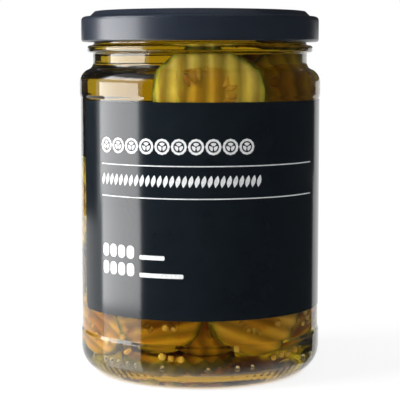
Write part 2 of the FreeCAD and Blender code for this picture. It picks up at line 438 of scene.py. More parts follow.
@dataclass(frozen=True)
class PickledGherkin:
    """Pickled cucumber: waxy green skin, pale translucent flesh and a wetter, browner seed core."""

    skin: str = "868a30"
    rind: str = "c8be50"
    flesh: str = "f2d670"
    core: str = "e0b44a"
    steeped: str = "fbd892"
    steep_height: float = 34.0

    def build(self) -> bpy.types.Material:
        """Makes the gherkin, which reads each slice's own place attribute.

        Returns:
            The gherkin's material.
        """
        material, tree = new_material("pickled_gherkin")
        own = add_node(tree, "ShaderNodeAttribute", {"attribute_name": "slice_place"})
        parts = add_node(tree, "ShaderNodeSeparateXYZ", inputs={"Vector": own.outputs["Vector"]})
        place = object_place(tree)
        blotch = noise(tree, place, 260.0, 3.0)
        ring = maths(tree, "ADD", parts.outputs["X"], maths(tree, "MULTIPLY_ADD", blotch, 0.10, -0.05))
        tone = colour_ramp(tree, ring, [(0.0, self.core), (0.42, self.core), (0.56, self.flesh),
                                        (0.88, self.flesh), (0.955, self.rind), (0.99, self.skin)])
        # Painted shade on the crinkle: the troughs between the ribs are darkened and the crests a little
        # lightened, as light would fall on the ribs.
        crest = map_range(tree, parts.outputs["Y"], (-1.0, 0.7), (0.68, 1.06))
        patch = map_range(tree, blotch, (0.0, 1.0), (0.84, 1.12))
        # Slices low in the jar are tinted warmer and darker, and the tint fades out higher up.
        height = add_node(tree, "ShaderNodeSeparateXYZ", inputs={"Vector": place}).outputs["Z"]
        fading = (0.4 * self.steep_height * MM, 1.6 * self.steep_height * MM)
        low = map_range(tree, height, fading, (1.0, 0.0))
        steep = mix_colours(tree, low, tone, linear(self.steeped), "MULTIPLY")
        # The value carries the painted rib shade as well as the random patches.
        mottled = add_node(tree, "ShaderNodeHueSaturation",
                           inputs={"Color": steep, "Value": maths(tree, "MULTIPLY", crest, patch)})
        shader = add_node(tree, "ShaderNodeBsdfPrincipled", inputs={
            "Roughness": 0.35, "Specular IOR Level": 0.2, "Subsurface Weight": 0.7,
            "Subsurface Radius": (1.0, 0.75, 0.2), "Subsurface Scale": 4.0 * MM,
            "Base Color": mottled.outputs[0], "Normal": bump(tree, noise(tree, place, 900.0, 2.0), 0.15)})
        finish_material(tree, shader)
        return material


@dataclass(frozen=True)
class SeedCoat:
    """Hull of a small seed: dry, smooth and a little uneven in colour from seed to seed."""

    name: str
    pale: str
    dark: str

    def build(self) -> bpy.types.Material:
        """Makes the hull, varied by place.

        Returns:
            The hull's material.
        """
        material, tree = new_material(self.name)
        patch = noise(tree, object_place(tree), 220.0, 2.0)
        shader = add_node(tree, "ShaderNodeBsdfPrincipled", inputs={
            "Roughness": 0.3, "Specular IOR Level": 0.3, "Subsurface Weight": 0.2,
            "Subsurface Radius": (1.0, 0.7, 0.3), "Subsurface Scale": 0.6 * MM,
            "Base Color": colour_ramp(tree, patch, [(0.35, self.dark), (0.65, self.pale)])})
        finish_material(tree, shader)
        return material


@dataclass(frozen=True)
class AirBubble:
    """Air caught on the glass: a clear bead with a bright heart and a dark edge."""

    ior: float = 1.7

    def build(self) -> bpy.types.Material:
        """Makes the bubble.

        Returns:
            The bubble's material.
        """
        material, tree = new_material("air_bubble")
        finish_material(tree, add_node(tree, "ShaderNodeBsdfPrincipled", inputs={
            "Base Color": WHITE, "Roughness": 0.0, "IOR": self.ior, "Transmission Weight": 1.0}))
        return material


# ---------------------------------------------------------------- mesh helpers

# Degrees from the middle of a seam or a mark at which the glass gets more points.
FINE_TURNS = (-0.7, -0.35, 0.0, 0.35, 0.7)


def rounded(corners: list[Corner], steps: int = 8) -> list[Point]:
    """Rounds the corners of an open outline.

    Args:
        corners: (across, up, round) in millimetres, where a round of 0 keeps the corner.
        steps: runs along each round.

    Returns:
        The outline's points in millimetres.
    """
    outline: list[Point] = []
    for index, (across, up, radius) in enumerate(corners):
        here = Vector((across, up))
        if radius <= 0.0 or index in (0, len(corners) - 1):
            outline.append((across, up))
            continue
        before = (Vector(corners[index - 1][:2]) - here).normalized()
        after = (Vector(corners[index + 1][:2]) - here).normalized()
        half = before.angle(after) / 2.0
        start = here + before * (radius / math.tan(half))
        end = here + after * (radius / math.tan(half))
        centre = here + (before + after).normalized() * (radius / math.sin(half))
        first, last = start - centre, end - centre
        sweep = first.angle_signed(last)
        for step in range(steps + 1):
            turned = first.copy()
            turned.rotate(Matrix.Rotation(-sweep * step / steps, 2))
            outline.append(tuple(centre + turned))
    return outline


def lathe(name: str, outline: list[Point], angles: list[float],
          shape: Callable[[float, float, float], Point] | None = None) -> bpy.types.Object:
    """Turns an outline that starts and ends on the axis into a closed smooth mesh.

    Args:
        name: the piece's name.
        outline: (radius, height) points in millimetres, the outside first.
        angles: the turns in radians at which the outline is set.
        shape: optional function of (radius, height, angle) that returns a moved (radius, height).

    Returns:
        The new object, with its place in its mesh.
    """
    mesh_data = bmesh.new()
    rings = []
    for radius, height in outline:
        if radius < 1e-6:
            rings.append([mesh_data.verts.new((0.0, 0.0, height * MM))])
            continue
        ring = []
        for angle in angles:
            r, z = shape(radius, height, angle) if shape else (radius, height)
            ring.append(mesh_data.verts.new((r * math.cos(angle) * MM, r * math.sin(angle) * MM, z * MM)))
        rings.append(ring)
    count = len(angles)
    for low, high in zip(rings, rings[1:]):
        for i in range(count):
            j = (i + 1) % count
            loop = [low[i % len(low)], low[j % len(low)], high[j % len(high)], high[i % len(high)]]
            mesh_data.faces.new(list(dict.fromkeys(loop)))
    return mesh_object(name, mesh_data)


def mesh_object(name: str, mesh_data: bmesh.types.BMesh, smooth: bool = True) -> bpy.types.Object:
    """Turns a finished bmesh into an object with outward faces.

    Args:
        name: the piece's name.
        mesh_data: its faces, which are freed.
        smooth: whether it is shaded smooth.

    Returns:
        The object, in the scene.
    """
    bmesh.ops.recalc_face_normals(mesh_data, faces=mesh_data.faces)
    mesh = bpy.data.meshes.new(name)
    mesh_data.to_mesh(mesh)
    mesh_data.free()
    for face in mesh.polygons:
        face.use_smooth = smooth
    piece = bpy.data.objects.new(name, mesh)
    bpy.context.scene.collection.objects.link(piece)
    return piece


def dress(piece: bpy.types.Object, material: bpy.types.Material, slot: Slot,
          *replaced: Node) -> bpy.types.Object:
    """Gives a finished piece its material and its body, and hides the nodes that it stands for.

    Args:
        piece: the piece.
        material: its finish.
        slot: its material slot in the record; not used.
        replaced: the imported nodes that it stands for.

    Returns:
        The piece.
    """
    piece.data.materials.clear()
    piece.data.materials.append(material)
    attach(piece, ROOT)
    if replaced:
        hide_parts(*(node.value for node in replaced))
    LOG.info("%s: %d faces", piece.name, len(piece.data.polygons))
    return piece


def repaint(node: Node, material: bpy.types.Material) -> None:
    """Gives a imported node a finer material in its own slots.

    Args:
        node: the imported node.
        material: its finish.
    """
    for place in bpy.data.objects[node.value].material_slots:
        place.material = material
    LOG.info("%s: kept, with %s", node.value, material.name)


def even_angles(count: int, centres: list[float] | None = None) -> list[float]:
    """Lists even turns round the jar, with finer ones by its narrow details.

    Args:
        count: how many even turns.
        centres: the details' turns in radians.

    Returns:
        Turns in radians, in order.
    """
    turns = {round(2.0 * math.pi * i / count, 6) for i in range(count)}
    for centre in centres or []:
        for offset in FINE_TURNS:
            turns.add(round((centre + math.radians(offset)) % (2.0 * math.pi), 6))
    return sorted(turns)


# ---------------------------------------------------------------- copies on points


class PointCopies:
    """Geometry Nodes tree that sets a copy of one shape on each point of a mesh."""

    attributes = ("turn", "grow")

    def __init__(self, name: str) -> None:
        """Builds the tree with named inputs for the shape, its overall size and its material.

        Args:
            name: the tree's name.
        """
        self.tree = bpy.data.node_groups.new(name, "GeometryNodeTree")
        face = self.tree.interface
        self.inputs: dict[str, str] = {}
        for label, kind in (("Geometry", "NodeSocketGeometry"), ("Shape", "NodeSocketObject"),
                            ("Overall size", "NodeSocketFloat"), ("Finish", "NodeSocketMaterial")):
            self.inputs[label] = face.new_socket(label, in_out="INPUT", socket_type=kind).identifier
        face.new_socket("Geometry", in_out="OUTPUT", socket_type="NodeSocketGeometry")
        tree = self.tree
        given = add_node(tree, "NodeGroupInput").outputs
        shape = add_node(tree, "GeometryNodeObjectInfo", inputs={"Object": given["Shape"]})
        turn, grow = (add_node(tree, "GeometryNodeInputNamedAttribute", {"data_type": "FLOAT_VECTOR"},
                               {"Name": kept}).outputs[0] for kept in self.attributes)
        scale = add_node(tree, "ShaderNodeVectorMath", {"operation": "SCALE"},
                         {0: grow, "Scale": given["Overall size"]})
        rotation = add_node(tree, "FunctionNodeEulerToRotation", inputs={0: turn})
        copies = add_node(tree, "GeometryNodeInstanceOnPoints", inputs={
            "Points": given["Geometry"], "Instance": shape.outputs["Geometry"],
            "Rotation": rotation.outputs[0], "Scale": scale.outputs[0]})
        real = add_node(tree, "GeometryNodeRealizeInstances", inputs={"Geometry": copies.outputs[0]})
        painted = add_node(tree, "GeometryNodeSetMaterial",
                           inputs={"Geometry": real.outputs[0], "Material": given["Finish"]})
        add_node(tree, "NodeGroupOutput", inputs={0: painted.outputs[0]})

    def spread(self, name: str, shape: bpy.types.Object, places: list[Matrix],
               material: bpy.types.Material, size: float = 1.0) -> bpy.types.Object:
        """Sets copies of a shape at the given places and returns them as one plain mesh.

        Args:
            name: the new piece's name.
            shape: the object that is copied.
            places: one matrix for each copy, in metres.
            material: the copies' finish.
            size: overall size of the copies.

        Returns:
            The joined copies.
        """
        seeds = bpy.data.meshes.new(f"{name}_points")
        seeds.from_pydata([tuple(place.to_translation()) for place in places], [], [])
        for kept in self.attributes:
            seeds.attributes.new(kept, "FLOAT_VECTOR", "POINT")
        turn, grow = (seeds.attributes[kept] for kept in self.attributes)
        for index, place in enumerate(places):
            turn.data[index].vector = tuple(place.to_euler())
            grow.data[index].vector = tuple(place.to_scale())
        carrier = bpy.data.objects.new(f"{name}_carrier", seeds)
        bpy.context.scene.collection.objects.link(carrier)
        modifier = carrier.modifiers.new("copies", "NODES")
        modifier.node_group = self.tree
        modifier[self.inputs["Shape"]] = shape
        modifier[self.inputs["Overall size"]] = size
        modifier[self.inputs["Finish"]] = material
        ready = carrier.evaluated_get(bpy.context.evaluated_depsgraph_get())
        mesh = bpy.data.meshes.new_from_object(ready)
        mesh.name = name
        bpy.data.objects.remove(carrier)
        for extra in self.attributes:
            if extra in mesh.attributes:
                mesh.attributes.remove(mesh.attributes[extra])
        piece = bpy.data.objects.new(name, mesh)
        bpy.context.scene.collection.objects.link(piece)
        return piece


def join_pieces(name: str, pieces: list[bpy.types.Object]) -> bpy.types.Object:
    """Joins plain meshes at the origin into one, keeping their attributes.

    Args:
        name: the joined piece's name.
        pieces: what is joined.

    Returns:
        The joined piece.
    """
    first = pieces[0]
    if len(pieces) > 1:
        with bpy.context.temp_override(active_object=first, object=first, selected_objects=pieces,
                                       selected_editable_objects=pieces):
            bpy.ops.object.join()
    first.name = name
    first.data.name = name
    return first


# ---------------------------------------------------------------- jar, lid and label


@dataclass
class JarShape:
    """Sizes of the glass in millimetres, with the overall ones read from the frame."""

    heel_round: float = 7.9
    ring_width: float = 1.8
    push_up: float = 1.8
    push_up_run: float = 5.0
    panel_recess: float = 0.3
    panel_bottom: float = 14.0
    panel_top: float = 85.0
    panel_step: float = 1.0
    side_height: float = 92.5
    neck_foot: float = 94.3
    neck_inside: float = 4.15
    neck_wall: float = 2.4
    bead_bottom: float = 98.5
    bead_top: float = 101.15
    bead_reach: float = 1.7
    finish_step: float = 0.2
    ring_soft: float = 0.7
    panel_soft: float = 1.2
    shoulder_round: float = 4.5
    neck_round: float = 2.2
    bead_soft: float = 0.4
    rim_round: float = 0.9
    floor_round: float = 7.0
    shoulder_inside: float = 4.0
    radius: float = field(init=False)
    rim: float = field(init=False)
    inner_radius: float = field(init=False)
    floor: float = field(init=False)
    level: float = field(init=False)

    def __post_init__(self) -> None:
        """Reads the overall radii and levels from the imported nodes."""
        glass_low, glass_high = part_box(Node.GLASS.value)
        brine_low, brine_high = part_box(Node.BRINE.value)
        self.radius = glass_high[0] / MM
        self.rim = glass_high[2] / MM
        self.inner_radius = brine_high[0] / MM
        self.floor = brine_low[2] / MM
        self.level = brine_high[2] / MM

    @property
    def neck(self) -> float:
        """Outside radius of the neck."""
        return self.radius - self.neck_inside

    @property
    def bore(self) -> float:
        """Inside radius of the neck."""
        return self.neck - self.neck_wall

    def outside(self) -> list[Corner]:
        """Sets out the outside, from the middle of the base up to the rim.

        Returns:
            (radius, height, round) corners.
        """
        ring = self.radius - self.heel_round - self.ring_width
        panel = self.radius - self.panel_recess
        bead = self.neck + self.bead_reach
        finish = self.neck - self.finish_step
        return [
            (0.0, self.push_up, 0.0),
            (ring - self.push_up_run, self.push_up, self.push_up_run),
            (ring, 0.0, self.ring_soft),
            (self.radius, 0.0, self.heel_round - 0.05),
            (self.radius, self.panel_bottom - self.panel_step, self.panel_soft),
            (panel, self.panel_bottom, self.panel_soft),
            (panel, self.panel_top, self.panel_soft),
            (self.radius, self.panel_top + self.panel_step, self.panel_soft),
            (self.radius, self.side_height, self.shoulder_round),
            (self.neck, self.neck_foot, self.neck_round),
            (self.neck, self.bead_bottom, self.bead_soft),
            (bead, self.bead_bottom + self.bead_soft, 2.0 * self.bead_soft),
            (bead, self.bead_top - self.bead_soft, 2.0 * self.bead_soft),
            (finish, self.bead_top, self.bead_soft),
            (finish, self.rim, self.rim_round),
        ]

    def cavity(self, grow: float, top: float) -> list[Corner]:
        """Sets out the inside up to a level.

        Args:
            grow: how far it is moved into the wall.
            top: the level.

        Returns:
            (radius, height, round) corners.
        """
        wall = self.inner_radius + grow
        bore = self.bore + grow
        return [
            (0.0, self.floor - grow, 0.0),
            (wall, self.floor - grow, self.floor_round),
            (wall, self.side_height - 1.8, self.shoulder_inside),
            (bore, self.neck_foot - 0.5, self.shoulder_inside),
            (bore, top, 0.0),
        ]


@dataclass
class GlassJar:
    """The glass with its moulded details: side seams, knurled standing ring and uneven inner wall."""

    shape: JarShape
    seam_turns: tuple[float, ...] = (-100.0, 80.0)
    seam_height: float = 0.09
    seam_width: float = 0.4
    knurl_count: int = 72
    knurl_depth: float = 0.16
    mark_turns: tuple[float, ...] = (-78.0, -75.0, -72.0)
    mark_height: float = 0.2
    mark_width: float = 0.6
    wall_wave: float = 0.12
    turns: int = 360
    longest_run: float = 3.0

    def ridge(self, angle: float, turns: tuple[float, ...], height: float, width: float) -> float:
        """Height at an angle of fine upright ridges.

        Args:
            angle: the place round the jar in radians.
            turns: the ridges' own places in degrees.
            height: how far they stand out.
            width: degrees over which they fall away.

        Returns:
            How far the glass stands out there.
        """
        away = [math.degrees(math.remainder(angle - math.radians(turn), 2.0 * math.pi)) for turn in turns]
        return sum(height * math.exp(-(degrees / width) ** 2) for degrees in away)

    def detail(self, radius: float, height: float, angle: float) -> Point:
        """Moves one point of the plain outline for the seams, the knurls and the wall's waves.

        Args:
            radius: the point's distance from the axis.
            height: its height.
            angle: its place round the jar in radians.

        Returns:
            The moved (radius, height).
        """
        shape = self.shape
        ring = shape.radius - shape.heel_round
        inside = shape.floor - 0.01 <= height and radius <= shape.inner_radius + 0.05
        if inside and height < shape.neck_foot and radius > 5.0:
            wave = math.sin(3 * angle + height / 9.0) + math.sin(5 * angle - height / 14.0 + 1.0)
            return radius + self.wall_wave * 0.5 * (wave - 2.0), height
        if not inside and height < 1.2 and ring - 3.2 < radius < ring + 1.8:
            bar = max(0.0, math.cos(self.knurl_count * angle))
            return radius, height + self.knurl_depth * (1.0 - bar ** 0.6) * math.exp(-(height / 0.8) ** 2)
        if not inside and height > 1.2 and radius < shape.radius - 0.2:
            radius += self.ridge(angle, self.seam_turns, self.seam_height, self.seam_width)
        if not inside and shape.bead_bottom < height < shape.bead_top and radius > shape.neck + 1.0:
            radius += self.ridge(angle, self.mark_turns, self.mark_height, self.mark_width)
        return radius, height

    def build(self, material: bpy.types.Material) -> bpy.types.Object:
        """Builds the glass and dresses it.

        Args:
            material: the glass.

        Returns:
            The jar's glass.
        """
        shape = self.shape
        inside = shape.cavity(0.0, shape.rim)
        inside[-1] = (shape.bore, shape.rim, shape.rim_round)
        outline = subdivide(rounded(shape.outside() + inside[::-1]), self.longest_run)
        ridges = [math.radians(turn) for turn in self.seam_turns + self.mark_turns]
        piece = lathe("jar_glass", outline, even_angles(self.turns, ridges), self.detail)
        return dress(piece, material, Slot.GLASS, Node.GLASS)


def subdivide(outline: list[Point], longest: float) -> list[Point]:
    """Splits the long runs of an outline.

    Args:
        outline: its points in millimetres.
        longest: how long a run may stay.

    Returns:
        The outline with points between.
    """
    result = [outline[0]]
    for start, end in zip(outline, outline[1:]):
        pieces = max(1, math.ceil(math.dist(start, end) / longest))
        for step in range(1, pieces + 1):
            share = step / pieces
            result.append((start[0] + (end[0] - start[0]) * share, start[1] + (end[1] - start[1]) * share))
    return result


@dataclass
class BrineFill:
    """The liquid, which reaches a little into the wall so that no air shows between them."""

    shape: JarShape
    reach: float = 0.1
    turns: int = 180
    longest_run: float = 6.0

    def build(self, material: bpy.types.Material) -> bpy.types.Object:
        """Builds the liquid and dresses it.

        Args:
            material: the brine.

        Returns:
            The liquid.
        """
        corners = self.shape.cavity(self.reach, self.shape.level)
        corners.append((0.0, self.shape.level, 0.0))
        outline = subdivide(rounded(corners), self.longest_run)
        piece = lathe("brine_liquid", outline, even_angles(self.turns))
        return dress(piece, material, Slot.BRINE, Node.BRINE)


@dataclass
class LabelPrint:
    """White print on the label: two rules, a row of slice marks, a row of pips and two stepped bars."""

    thickness: float = 0.03
    clearance: float = 0.01
    left: float = -33.3
    rule_right: float = 40.9
    rule_heights: tuple[float, ...] = (66.1, 56.7)
    rule_width: float = 0.32
    mark_height: float = 71.7
    mark_radius: float = 2.3
    mark_count: int = 10
    mark_pitch: float = 4.98
    mark_hole: float = 0.70
    chamber_count: int = 3
    chamber_reach: tuple[float, float] = (0.12, 0.53)
    chamber_half_turn: float = 46.0
    pip_height: float = 61.7
    pip_length: float = 1.75
    pip_width: float = 0.40
    pip_lean: float = 0.2
    pip_pitch: float = 1.86
    pip_count: int = 28
    pip_inset: float = 0.9
    bar_rows: tuple[tuple[float, float], ...] = ((40.6, 8.0), (35.4, 13.6))
    bar_count: int = 4
    bar_tile: float = 2.7
    bar_height: float = 3.9
    bar_pitch: float = 3.3
    bar_inset: float = 0.5
    note_gap: float = 1.2
    note_width: float = 1.3
    note_rise: float = 0.7
    radius: float = field(init=False)

    def __post_init__(self) -> None:
        """Reads the label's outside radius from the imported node."""
        self.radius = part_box(Node.LABEL.value)[1][0] / MM

    def plate(self, mesh_data: bmesh.types.BMesh, upper: list[Point], lower: list[Point],
              closed: bool = False) -> None:
        """Adds a thin plate between two chains of points, unrolled flat.

        Args:
            mesh_data: the mesh that gets the plate.
            upper: (along, up) points of one side in millimetres.
            lower: as many points of the other side.
            closed: whether the chains are loops, which makes a ring.
        """
        sheets = []
        for level in (0.0, self.thickness):
            sheets.append([[mesh_data.verts.new((x * MM, -level * MM, z * MM)) for x, z in chain]
                           for chain in (upper, lower)])
        count = len(upper)
        for i in range(count if closed else count - 1):
            j = (i + 1) % count
            for top, low in sheets:
                mesh_data.faces.new((top[i], top[j], low[j], low[i]))
            for back, front in zip(*sheets):
                mesh_data.faces.new((back[i], back[j], front[j], front[i]))
        if not closed:
            (back_top, back_low), (top, low) = sheets
            for i in (0, -1):
                mesh_data.faces.new((back_top[i], back_low[i], low[i], top[i]))
        bmesh.ops.remove_doubles(mesh_data, verts=mesh_data.verts, dist=1e-7)

    def bar(self, mesh_data: bmesh.types.BMesh, left: float, right: float, middle: float,
            tall: float) -> None:
        """Adds a bar with rounded corners, split along its length so that it can bend.

        Args:
            mesh_data: the mesh that gets the bar.
            left: where it starts, in millimetres along the label.
            right: where it ends.
            middle: the height of its middle.
            tall: how tall it is.
        """
        corner = 0.3 * tall
        steps = max(2, math.ceil((right - left) / 0.9))
        places = [left + corner * (1.0 - math.cos(math.pi * i / 8)) for i in range(4)]
        places += [left + corner + (right - left - 2.0 * corner) * i / steps for i in range(steps + 1)]
        places += [right - corner * (1.0 - math.cos(math.pi * i / 8)) for i in range(3, -1, -1)]
        halves = []
        for place in places:
            into = min(1.0, min(place - left, right - place) / corner)
            halves.append(tall / 2.0 - corner * (1.0 - math.sqrt(max(0.0, 1.0 - (1.0 - into) ** 2))))
        self.plate(mesh_data, [(x, middle + half) for x, half in zip(places, halves)],
                   [(x, middle - half) for x, half in zip(places, halves)])

    def arc(self, reach: list[float], turns: list[float]) -> list[Point]:
        """Points at the given distances and turns in radians from a mark's middle."""
        return [(out * math.cos(turn), out * math.sin(turn)) for out, turn in zip(reach, turns)]

    def slice_mark(self) -> bpy.types.Object:
        """Draws a round mark like a cut slice: a scalloped rim and three seed chambers in the middle.

        Returns:
            The flat mark.
        """
        mesh_data = bmesh.new()
        turns = [2.0 * math.pi * i / 48 for i in range(48)]
        outer = [self.mark_radius * (1.0 + 0.025 * math.cos(12 * turn)) for turn in turns]
        hole = [self.mark_hole * self.mark_radius] * len(turns)
        self.plate(mesh_data, self.arc(outer, turns), self.arc(hole, turns), closed=True)
        near, far = (share * self.mark_radius for share in self.chamber_reach)
        half = math.radians(self.chamber_half_turn)
        for chamber in range(self.chamber_count):
            middle = math.radians(90.0 + 360.0 / self.chamber_count * chamber)
            turns = [middle + half * (2.0 * i / 10 - 1.0) for i in range(11)]
            self.plate(mesh_data, self.arc([far] * 11, turns), self.arc([near] * 11, turns))
        return mesh_object("slice_mark_shape", mesh_data, smooth=False)

    def pip_mark(self) -> bpy.types.Object:
        """Draws a pointed pip, leaning a little.

        Returns:
            The flat mark.
        """
        mesh_data = bmesh.new()
        steps = [2.0 * i / 10 - 1.0 for i in range(11)]
        half = [self.pip_width * self.pip_length * (1.0 - s * s) for s in steps]
        rise = [self.pip_length * s for s in steps]
        self.plate(mesh_data, [(self.pip_lean * z - h, z) for z, h in zip(rise, half)],
                   [(self.pip_lean * z + h, z) for z, h in zip(rise, half)])
        return mesh_object("pip_mark_shape", mesh_data, smooth=False)

    def wrap(self, piece: bpy.types.Object) -> bpy.types.Object:
        """Bends a flat print round the label's outside.

        Args:
            piece: the print, unrolled flat.

        Returns:
            The same piece.
        """
        base = (self.radius + self.clearance) * MM
        for point in piece.data.vertices:
            along, level, up = point.co
            turn = along / base
            out = base - level
            point.co = (out * math.sin(turn), -out * math.cos(turn), up)
        return piece

    def build(self, copies: PointCopies, ink: bpy.types.Material) -> None:
        """Builds and dresses the rules, the rows of marks and the bars.

        Args:
            copies: the tree that sets a row's copies.
            ink: the print's finish.
        """
        rules, bars = bmesh.new(), bmesh.new()
        for height in self.rule_heights:
            self.bar(rules, self.left, self.rule_right, height, self.rule_width)
        for height, note in self.bar_rows:
            starts = [self.left + self.bar_inset + i * self.bar_pitch for i in range(self.bar_count + 1)]
            for start in starts[:-1]:
                self.bar(bars, start, start + self.bar_tile, height, self.bar_height)
            start = starts[-1] + self.note_gap
            middle = height - 0.5 * self.bar_height + self.note_rise
            self.bar(bars, start, start + note, middle, self.note_width)
        for name, mesh_data in (("label_rules", rules), ("label_bars", bars)):
            dress(self.wrap(mesh_object(name, mesh_data, smooth=False)), ink, Slot.LABEL)
        for name, shape, count, pitch, height, first in (
                ("label_slice_marks", self.slice_mark(), self.mark_count, self.mark_pitch, self.mark_height,
                 self.left + self.mark_radius),
                ("label_pip_row", self.pip_mark(), self.pip_count, self.pip_pitch, self.pip_height,
                 self.left + self.pip_inset)):
            places = [Matrix.Translation(Vector((first + i * pitch, 0.0, height)) * MM) for i in range(count)]
            dress(self.wrap(copies.spread(name, shape, places, ink)), ink, Slot.LABEL)
            bpy.data.objects.remove(shape)


# ---------------------------------------------------------------- what is sunk in the brine


@dataclass(frozen=True)
class SlicePlan:
    """Where one slice lies: middle in millimetres, which way its face looks, and its size."""

    middle: tuple[float, float, float]
    face: tuple[float, float, float]
    spin: float = 0.0
    radius: float = 16.5
    kind: int = 0

    def matrix(self) -> Matrix:
        """Works out where the slice lies, with its ribs turned by spin in degrees.

        Returns:
            The place in metres of a slice of unit radius.
        """
        normal = Vector(self.face).normalized()
        turn = normal.to_track_quat("Z", "Y").to_matrix().to_4x4()
        place = Matrix.Translation(Vector(self.middle) * MM)
        spin = Matrix.Rotation(math.radians(self.spin), 4, "Z")
        return place @ turn @ spin @ Matrix.Scale(self.radius * MM, 4)


@dataclass
class GherkinSlice:
    """One crinkle-cut slice of unit radius, lying flat with its ribs along Y."""

    thickness: float = 0.25
    rib_pitch: float = 0.32
    rib_depth: float = 0.05
    columns: int = 44
    rows: int = 9
    kind: int = 0

    def reach(self, angle: float) -> float:
        """Works out the outline: faint lobes and a bumpy skin.

        Args:
            angle: the place round the slice in radians.

        Returns:
            The outline's radius there.
        """
        k = self.kind
        lobes = 0.025 * math.cos(3 * angle + k) + 0.03 * math.cos(2 * angle + 1.7 * k)
        bumps = 0.006 * math.sin(17 * angle + k) + 0.005 * math.sin(29 * angle + 2 * k)
        return 0.955 + lobes + bumps

    def wave(self, across: float) -> float:
        """Height of the crinkle at a place across the ribs: rounded crests and troughs."""
        turn = 2.0 * math.pi * across / self.rib_pitch + self.kind
        return self.rib_depth * (math.sin(turn) - 0.12 * math.sin(3.0 * turn))

    def build(self) -> bpy.types.Object:
        """Builds the slice as a closed mesh that keeps its own place as an attribute.

        Returns:
            The slice.
        """
        mesh_data = bmesh.new()
        layer = mesh_data.verts.layers.float_vector.new("slice_place")
        sheets = []
        for side in (1.0, -1.0):
            sheet = []
            for column in range(self.columns + 1):
                turn = math.pi * column / self.columns
                top, low = self.reach(turn), self.reach(-turn)
                x = 0.5 * (top + low) * math.cos(turn)
                high_y, low_y = top * math.sin(turn), -low * math.sin(turn)
                line = []
                for row in range(self.rows + 1):
                    y = low_y + (high_y - low_y) * row / self.rows
                    line.append(self.add_point(mesh_data, layer, x, y, side))
                sheet.append(line)
            sheets.append(sheet)
        for sheet in sheets:
            for left, right in zip(sheet, sheet[1:]):
                for row in range(self.rows):
                    mesh_data.faces.new((left[row], right[row], right[row + 1], left[row + 1]))
        upper, lower = (self.border(sheet) for sheet in sheets)
        for index, corner in enumerate(upper):
            after = (index + 1) % len(upper)
            mesh_data.faces.new((corner, upper[after], lower[after], lower[index]))
        bmesh.ops.remove_doubles(mesh_data, verts=mesh_data.verts, dist=1e-5)
        bmesh.ops.dissolve_degenerate(mesh_data, edges=mesh_data.edges, dist=1e-5)
        return mesh_object(f"slice_shape_{self.kind}", mesh_data)

    def add_point(self, mesh_data: bmesh.types.BMesh, layer: bmesh.types.BMLayerItem, x: float, y: float,
                  side: float) -> bmesh.types.BMVert:
        """Adds one point of a face, rounded off towards the skin.

        Args:
            mesh_data: the mesh that gets the point.
            layer: the attribute that keeps how far out it is, its height on a rib and its side.
            x: its place across the ribs.
            y: its place along them.
            side: 1 on the upper face and -1 on the lower one.

        Returns:
            The point.
        """
        angle = math.atan2(y, x)
        out = min(1.0, math.hypot(x, y) / self.reach(angle))
        rounding = 1.0 - 0.30 * max(0.0, (out - 0.86) / 0.14) ** 2
        dish = 0.012 * math.cos(4.0 * out)
        z = side * (0.5 * self.thickness * rounding - dish) + self.wave(x)
        point = mesh_data.verts.new((x, y, z))
        point[layer] = (out, side * self.wave(x) / self.rib_depth, side)
        return point

    def border(self, sheet: list[list[bmesh.types.BMVert]]) -> list[bmesh.types.BMVert]:
        """Finds the outer points of a face.

        Args:
            sheet: the face's points, a list for each column.

        Returns:
            The outer ones, in order round the slice.
        """
        last = len(sheet[0]) - 1
        front = [line[last] for line in sheet]
        back = [line[0] for line in reversed(sheet[1:-1])]
        ends = [sheet[-1][row] for row in range(last - 1, -1, -1)]
        starts = [sheet[0][row] for row in range(0, last)]
        return front + ends + back + starts


